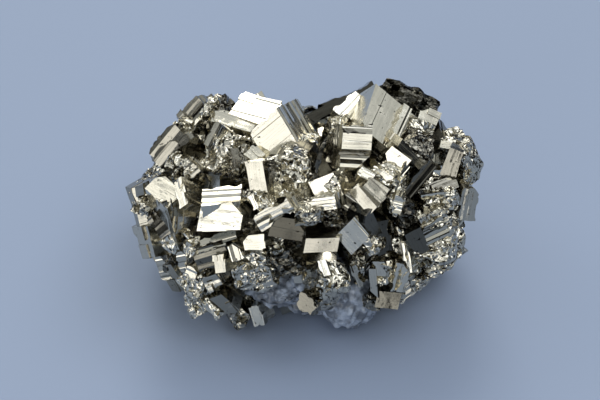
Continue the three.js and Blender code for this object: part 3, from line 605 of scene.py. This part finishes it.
def filler_crystals():
    """Crystals spread evenly over the mass."""
    step = math.pi * (3 - math.sqrt(5))
    for index in range(FILLER_COUNT):
        height = 1 - (2 * (index + 0.5)) / FILLER_COUNT
        ring = math.sqrt(1 - height * height)
        direction = (ring * math.cos(index * step), ring * math.sin(index * step), height)
        powers = sum(abs(part) ** CLUSTER_POWER for part in direction)
        unit = [part / powers ** (1 / CLUSTER_POWER) for part in direction]
        outward = Vector([
            math.copysign(abs(part) ** (CLUSTER_POWER - 1), part) / reach
            for part, reach in zip(unit, CLUSTER_REACH)
        ]).normalized()
        key = index * 5
        front = outward.z - outward.y > 0.15
        sink = between(FILLER_SINK, key + 4) + (FRONT_SINK if front else 0)
        at = [
            middle + reach * part - sink * away
            for middle, reach, part, away in zip(CLUSTER_CENTRE, CLUSTER_REACH, unit, outward)
        ]
        azimuth = math.degrees(math.atan2(outward.x, -outward.y)) + AZIMUTH_SPREAD * (scatter(key) - 0.5)
        elevation = math.degrees(math.asin(outward.z)) + ELEVATION_SPREAD * (scatter(key + 1) - 0.5)
        edge = between(FILLER_SIZE, key + 3)
        underneath = outward.z < -0.93
        over_quartz = abs(at[0] - 3) < 9 and at[1] < -10 and at[2] < 15
        if not underneath and not over_quartz:
            size = (edge, edge * (0.7 + 0.3 * scatter(key + 4)), edge * 1.2)
            finish = FINISHES[index % len(FINISHES)]
            # Fillers at the top and front, sunk beneath the listed crystals, get a higher tarnish as painted shade in
            # the recess behind them.
            yield at, (azimuth, elevation), 180 * scatter(key + 2), size, finish, 0.6 if front else 0.2


def cut_at_floor(piece):
    """Cuts a piece flat underneath and closes the cut."""
    deselect()
    piece.select_set(True)
    bpy.context.view_layer.objects.active = piece
    bpy.ops.object.mode_set(mode="EDIT")
    bpy.ops.mesh.select_all(action="SELECT")
    bpy.ops.mesh.bisect(plane_co=(0, 0, 0), plane_no=(0, 0, -1), use_fill=True, clear_outer=True)
    bpy.ops.object.mode_set(mode="OBJECT")


def keep_main_body(piece, inside):
    """Deletes what isn't joined to the point nearest to `inside`, such as shells of sealed pockets."""
    deselect()
    piece.select_set(True)
    bpy.context.view_layer.objects.active = piece
    bpy.ops.object.mode_set(mode="EDIT")
    bpy.ops.mesh.select_mode(type="VERT")
    bpy.ops.mesh.select_all(action="DESELECT")
    bpy.ops.object.mode_set(mode="OBJECT")
    min(piece.data.vertices, key=lambda v: (v.co - Vector(inside)).length).select = True
    bpy.ops.object.mode_set(mode="EDIT")
    bpy.ops.mesh.select_linked()
    bpy.ops.mesh.select_all(action="INVERT")
    bpy.ops.mesh.delete(type="VERT")
    bpy.ops.object.mode_set(mode="OBJECT")


def finish_piece(piece, name, node):
    piece.data.transform(Matrix.Scale(MM, 4) @ Matrix.Translation(-BASE_MIDDLE))
    piece.name = name
    piece.data.name = name
    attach(piece, "root")
    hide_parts(node)


# ---- Materials ----
LINE_LEAN = 0.14  # steepest slope of a fine growth line


def tarnish_and_painted_shade(tree, settings, place, spacing, level):
    """The metal's colour: browner where a crystal is tarnished or darkened as painted shade, and near black in pits
    as painted shade, fewer at a higher level.
    """
    amount = add_node(tree, "ShaderNodeAttribute", attribute_name="tarnish_and_shade")
    colour = add_node(tree, "ShaderNodeMix", data_type="RGBA", links=[("Factor", amount, "Fac")])
    colour.inputs[6].default_value = linear(settings.metal)
    colour.inputs[7].default_value = linear(settings.tarnish_and_shade)
    # Painted shade: a noise mask puts near-black specks where small pits would hold shade.
    pits = add_node(
        tree, "ShaderNodeTexNoise", Scale=1 / (spacing * MM), Detail=2.0, links=[("Vector", place, "Object")])
    depth = add_node(
        tree, "ShaderNodeMapRange", From_Min=level, From_Max=level + 0.05, links=[("Value", pits, "Fac")])
    pit_shaded = add_node(
        tree, "ShaderNodeMix", data_type="RGBA", links=[("Factor", depth, "Result"), (6, colour, 2)])
    pit_shaded.inputs[7].default_value = linear(settings.pits)
    return pit_shaded


def bright_pyrite(settings):
    """Pyrite, as grown: a metal with mirror faces, lined along its growth and duller in patches."""
    material = new_material("Pyrite, lined growth faces")
    tree = material.node_tree
    place = add_node(tree, "ShaderNodeTexCoord")
    patches = add_node(
        tree, "ShaderNodeTexNoise", Scale=1 / (4 * MM), Detail=3.0, links=[("Vector", place, "Object")])
    dullness = add_node(
        tree, "ShaderNodeMapRange", From_Min=0.4, From_Max=0.7, To_Min=0.1, To_Max=0.28,
        links=[("Value", patches, "Fac")])
    # The UV map is in millimetres along and across the growth lines. Strips about 0.45 mm wide each lean their
    # own way, so that they catch the light one by one. They wander a little, and are strong on lined faces only.
    stretch = add_node(
        tree, "ShaderNodeMapping", Scale=(1 / 5, 1 / 1.5, 1), links=[("Vector", place, "UV")])
    wander = add_node(tree, "ShaderNodeTexNoise", Scale=1.0, Detail=1.0, links=[("Vector", stretch, "Vector")])
    parts = add_node(tree, "ShaderNodeSeparateXYZ", links=[("Vector", place, "UV")])
    across = add_node(
        tree, "ShaderNodeMath", operation="MULTIPLY_ADD", links=[(0, wander, "Fac"), (2, parts, "Y")])
    across.inputs[1].default_value = 0.6
    strips = add_node(
        tree, "ShaderNodeTexVoronoi", voronoi_dimensions="1D", Scale=1 / 0.45, links=[("W", across, "Value")])
    within = add_node(
        tree, "ShaderNodeMath", operation="SUBTRACT", links=[(0, across, "Value"), (1, strips, "W")])
    chance = add_node(tree, "ShaderNodeSeparateColor", links=[("Color", strips, "Color")])
    lean = add_node(
        tree, "ShaderNodeMapRange", To_Min=-LINE_LEAN, To_Max=LINE_LEAN, links=[("Value", chance, "Red")])
    slope = add_node(
        tree, "ShaderNodeMath", operation="MULTIPLY", links=[(0, within, "Value"), (1, lean, "Result")])
    lining = add_node(tree, "ShaderNodeAttribute", attribute_name="lining")
    height = add_node(
        tree, "ShaderNodeMath", operation="MULTIPLY", links=[(0, slope, "Value"), (1, lining, "Fac")])
    lines = add_node(tree, "ShaderNodeBump", Strength=1.0, Distance=MM, links=[("Height", height, "Value")])
    wave = add_node(
        tree, "ShaderNodeTexNoise", Scale=1 / (2.5 * MM), Detail=3.0, links=[("Vector", place, "Object")])
    uneven = add_node(
        tree, "ShaderNodeBump", Strength=0.3, Distance=0.2 * MM,
        links=[("Height", wave, "Fac"), ("Normal", lines, "Normal")])
    metal = add_node(
        tree, "ShaderNodeBsdfPrincipled", Metallic=1.0,
        links=[("Base Color", tarnish_and_painted_shade(tree, settings, place, 0.6, 0.68), 2), ("Roughness", dullness, "Result"),
               ("Normal", uneven, "Normal")])
    add_node(tree, "ShaderNodeOutputMaterial", links=[("Surface", metal, "BSDF")])
    return material


def rough_pyrite(settings):
    """Pyrite, rough drusy growth: the same metal in tiny facets that glint one by one."""
    material = new_material("Pyrite, rough growth faces")
    tree = material.node_tree
    place = add_node(tree, "ShaderNodeTexCoord")
    normal = add_node(tree, "ShaderNodeNewGeometry")
    output = "Normal"
    # Facets in millimetres along and across the growth, and how far each may lean.
    for along, across, lean in ((1.1, 0.6, 0.6), (0.45, 0.28, 3.2)):
        stretch = add_node(
            tree, "ShaderNodeMapping", Scale=(1 / along, 1 / across, 1), links=[("Vector", place, "UV")])
        facets = add_node(
            tree, "ShaderNodeTexVoronoi", voronoi_dimensions="2D", Scale=1.0, links=[("Vector", stretch, "Vector")])
        centred = add_node(
            tree, "ShaderNodeVectorMath", operation="SUBTRACT", links=[(0, facets, "Color")])
        centred.inputs[1].default_value = (0.5, 0.5, 0.5)
        if lean > 1:  # most of the smallest lean little, and a few lean far
            squared = add_node(
                tree, "ShaderNodeVectorMath", operation="MULTIPLY", links=[(0, centred, 0), (1, centred, 0)])
            centred = add_node(
                tree, "ShaderNodeVectorMath", operation="MULTIPLY", links=[(0, centred, 0), (1, squared, 0)])
        tilted = add_node(
            tree, "ShaderNodeVectorMath", operation="MULTIPLY_ADD", links=[(0, centred, 0), (2, normal, output)])
        tilted.inputs[1].default_value = (lean, lean, lean)
        normal = add_node(tree, "ShaderNodeVectorMath", operation="NORMALIZE", links=[(0, tilted, 0)])
        output = 0
    grit = add_node(
        tree, "ShaderNodeTexNoise", Scale=1 / (0.5 * MM), Detail=3.0, links=[("Vector", place, "Object")])
    fine = add_node(
        tree, "ShaderNodeBump", Strength=0.5, Distance=0.1 * MM,
        links=[("Height", grit, "Fac"), ("Normal", normal, output)])
    metal = add_node(
        tree, "ShaderNodeBsdfPrincipled", Metallic=1.0, Roughness=0.13,
        links=[("Base Color", tarnish_and_painted_shade(tree, settings, place, 0.8, 0.62), 2), ("Normal", fine, "Normal")])
    add_node(tree, "ShaderNodeOutputMaterial", links=[("Surface", metal, "BSDF")])
    return material


def quartz_material(settings):
    """Milky quartz, broken: glassy skin over a cloudy, faintly blue inside."""
    material = new_material("Milky quartz, broken lump")
    tree = material.node_tree
    milk = linear(settings.milk)
    place = add_node(tree, "ShaderNodeTexCoord")
    cloud = add_node(
        tree, "ShaderNodeTexNoise", Scale=1 / (2 * MM), Detail=6.0, links=[("Vector", place, "Object")])
    tint = add_node(tree, "ShaderNodeValToRGB", links=[("Fac", cloud, "Fac")])
    tint.color_ramp.elements[0].position = 0.42
    tint.color_ramp.elements[0].color = [value * 0.35 for value in milk[:3]] + [1]
    tint.color_ramp.elements[1].position = 0.58
    tint.color_ramp.elements[1].color = milk
    shells = add_node(tree, "ShaderNodeTexVoronoi", Scale=1 / (1.3 * MM), links=[("Vector", place, "Object")])
    broken = add_node(
        tree, "ShaderNodeBump", Strength=0.6, Distance=0.5 * MM, links=[("Height", shells, "Distance")])
    bump = add_node(
        tree, "ShaderNodeBump", Strength=0.5, Distance=0.3 * MM,
        links=[("Height", cloud, "Fac"), ("Normal", broken, "Normal")])
    skin = add_node(
        tree, "ShaderNodeBsdfPrincipled", Roughness=0.25, IOR=1.54, Subsurface_Weight=0.15, Subsurface_Scale=1.0,
        Subsurface_Radius=(2 * MM, 2.2 * MM, 2.6 * MM),
        links=[("Base Color", tint, "Color"), ("Normal", bump, "Normal")])
    add_node(tree, "ShaderNodeOutputMaterial", links=[("Surface", skin, "BSDF")])
    return material


def floor_material(settings):
    """Painted board, matt."""
    material = new_material("Painted board, matt")
    tree = material.node_tree
    paint = add_node(tree, "ShaderNodeBsdfPrincipled", Roughness=0.8, Base_Color=linear(settings.floor))
    add_node(tree, "ShaderNodeOutputMaterial", links=[("Surface", paint, "BSDF")])
    return material


# ---- Operators ----
class SPECIMEN_OT_pyrite(bpy.types.Operator):
    """Builds the pyrite cluster"""
    bl_idname = "specimen.pyrite"
    bl_label = "Pyrite cluster"

    def execute(self, context):
        settings = context.scene.pyrite
        materials = {
            "smooth": bright_pyrite(settings),
            "rough": rough_pyrite(settings),
        }
        maker = CrystalMaker(settings, materials)
        for seed, (name, entry) in enumerate(CRYSTALS.items()):
            maker.crystal(entry, 0 if name in PLAIN else 1 if entry[4] == "rough" else 2, seed)
        for seed, entry in enumerate(filler_crystals()):
            maker.crystal(entry, 0, 1000 + seed)
        piece = maker.finish()
        cut_at_floor(piece)
        keep_main_body(piece, CRYSTALS["crown"][0])
        finish_piece(piece, "pyrite", "pyrite_cluster")
        return {"FINISHED"}


class SPECIMEN_OT_quartz(bpy.types.Operator):
    """Builds the quartz between the crystals"""
    bl_idname = "specimen.quartz"
    bl_label = "Quartz"

    def execute(self, context):
        settings = context.scene.quartz
        lumps = []
        for middle, radii in QUARTZ_LUMPS:
            deselect()
            bpy.ops.mesh.primitive_ico_sphere_add(subdivisions=5, radius=1)
            lump = context.object
            lump.data.transform(Matrix.Translation(middle) @ Matrix.Diagonal((*radii, 1)))
            lumps.append(put_aside(lump))
        piece = joined(lumps)
        apply_nodes(piece, solids_tree("UNION"))
        height = settings.lump_height / MM
        for v in piece.data.vertices:
            creases = abs(noise.noise(v.co * 0.6)) + 0.5 * abs(noise.noise(v.co * 1.7))
            v.co += v.normal * height * (0.6 * noise.noise(v.co * 0.3) + 1.6 * creases - 0.9)
        cut_at_floor(piece)
        keep_main_body(piece, QUARTZ_LUMPS[0][0])
        piece.data.shade_smooth()
        piece.data.materials.append(quartz_material(settings))
        finish_piece(piece, "quartz", "quartz_matrix")
        return {"FINISHED"}


def aim(piece, target):
    """Turns a light or camera to look at a point."""
    piece.rotation_euler = (target - piece.location).to_track_quat("-Z", "Y").to_euler()


# Soft lights: azimuth and elevation in degrees, distance, width and height in metres, radiance, colour.
LIGHTS = {
    "back_middle": (-172, 46, 1.2, 0.35, 0.8, 4.2, "#FFFDF8"),
    "back_left": (-157, 46, 1.2, 0.28, 0.8, 1.0, "#FFFDF8"),
    "back_right": (173, 46, 1.2, 0.28, 0.8, 1.4, "#FFFDF8"),
    "front_middle": (-25, 9, 0.7, 0.2, 0.42, 2.6, "#FFFFFF"),
    "front_left": (-42, 9, 0.7, 0.18, 0.42, 1.8, "#FFFFFF"),
    "front_right": (-8, 9, 0.7, 0.18, 0.42, 1.6, "#FFFFFF"),
    "left_card": (-107, 36, 1.0, 0.42, 0.42, 1.4, "#FFFFFF"),
    "top_card": (75, 66, 1.0, 0.6, 0.5, 2.6, "#F2F6FF"),
    "right_card": (28, 50, 1.0, 0.35, 0.3, 1.8, "#FFFFFF"),
}


def studio_world():
    """A room that is dark at the horizon and pale overhead."""
    world = bpy.data.worlds.new("Studio")
    world.use_nodes = True
    tree = world.node_tree
    tree.nodes.clear()
    place = add_node(tree, "ShaderNodeTexCoord")
    parts = add_node(tree, "ShaderNodeSeparateXYZ", links=[("Vector", place, "Generated")])
    height = add_node(
        tree, "ShaderNodeMapRange", interpolation_type="SMOOTHSTEP", From_Min=0.25, From_Max=0.75, To_Min=0.02,
        To_Max=0.8, links=[("Value", parts, "Z")])
    room = add_node(
        tree, "ShaderNodeBackground", Color=(0.92, 0.97, 1.0, 1), links=[("Strength", height, "Result")])
    add_node(tree, "ShaderNodeOutputWorld", links=[("Surface", room, "Background")])
    return world


class SPECIMEN_OT_stage(bpy.types.Operator):
    """Builds the floor, the soft lights and the camera"""
    bl_idname = "specimen.stage"
    bl_label = "Stage"

    def execute(self, context):
        settings = context.scene.stage
        target = (Vector((0, 0, 14)) - BASE_MIDDLE) * MM
        deselect()
        bpy.ops.mesh.primitive_plane_add(size=3)
        floor = context.object
        floor.name = "floor"
        floor.data.materials.append(floor_material(settings))
        for name, (azimuth, elevation, distance, wide, high, radiance, colour) in LIGHTS.items():
            data = bpy.data.lights.new(name, "AREA")
            data.shape = "RECTANGLE"
            data.size, data.size_y = wide, high
            data.energy = radiance * math.pi * wide * high
            data.color = linear(colour)[:3]
            lamp = bpy.data.objects.new(name, data)
            context.collection.objects.link(lamp)
            lamp.location = target + placement((0, 0, 0), (azimuth, elevation), 0).col[2].to_3d() * distance
            aim(lamp, target)
        context.scene.world = studio_world()
        data = bpy.data.cameras.new("camera")
        data.lens = 120
        camera = bpy.data.objects.new("camera", data)
        context.collection.objects.link(camera)
        elevation = settings.camera_elevation
        away = Vector((0, -math.cos(elevation), math.sin(elevation)))
        camera.location = target + away * settings.camera_distance
        aim(camera, target)
        context.scene.camera = camera
        context.scene.view_settings.view_transform = "Standard"
        return {"FINISHED"}


class SPECIMEN_PT_panel(bpy.types.Panel):
    """Lists what builds the specimen"""
    bl_label = "Specimen"
    bl_space_type = "VIEW_3D"
    bl_region_type = "UI"
    bl_category = "Specimen"

    def draw(self, context):
        for group in (context.scene.pyrite, context.scene.quartz, context.scene.stage):
            for name in group.__annotations__:
                self.layout.prop(group, name)
        for operator in BUILD_ORDER:
            self.layout.operator(operator)


BUILD_ORDER = ("specimen.pyrite", "specimen.quartz", "specimen.stage")
CLASSES = (
    PyriteSettings, QuartzSettings, StageSettings,
    SPECIMEN_OT_pyrite, SPECIMEN_OT_quartz, SPECIMEN_OT_stage, SPECIMEN_PT_panel,
)


def register():
    for each in CLASSES:
        bpy.utils.register_class(each)
    bpy.types.Scene.pyrite = bpy.props.PointerProperty(type=PyriteSettings)
    bpy.types.Scene.quartz = bpy.props.PointerProperty(type=QuartzSettings)
    bpy.types.Scene.stage = bpy.props.PointerProperty(type=StageSettings)


def unregister():
    del bpy.types.Scene.pyrite, bpy.types.Scene.quartz, bpy.types.Scene.stage
    for each in reversed(CLASSES):
        bpy.utils.unregister_class(each)


def main():
    register()
    bpy.ops.specimen.pyrite()
    bpy.ops.specimen.quartz()
    bpy.ops.specimen.stage()
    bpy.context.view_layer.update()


if __name__ == "__main__":
    main()
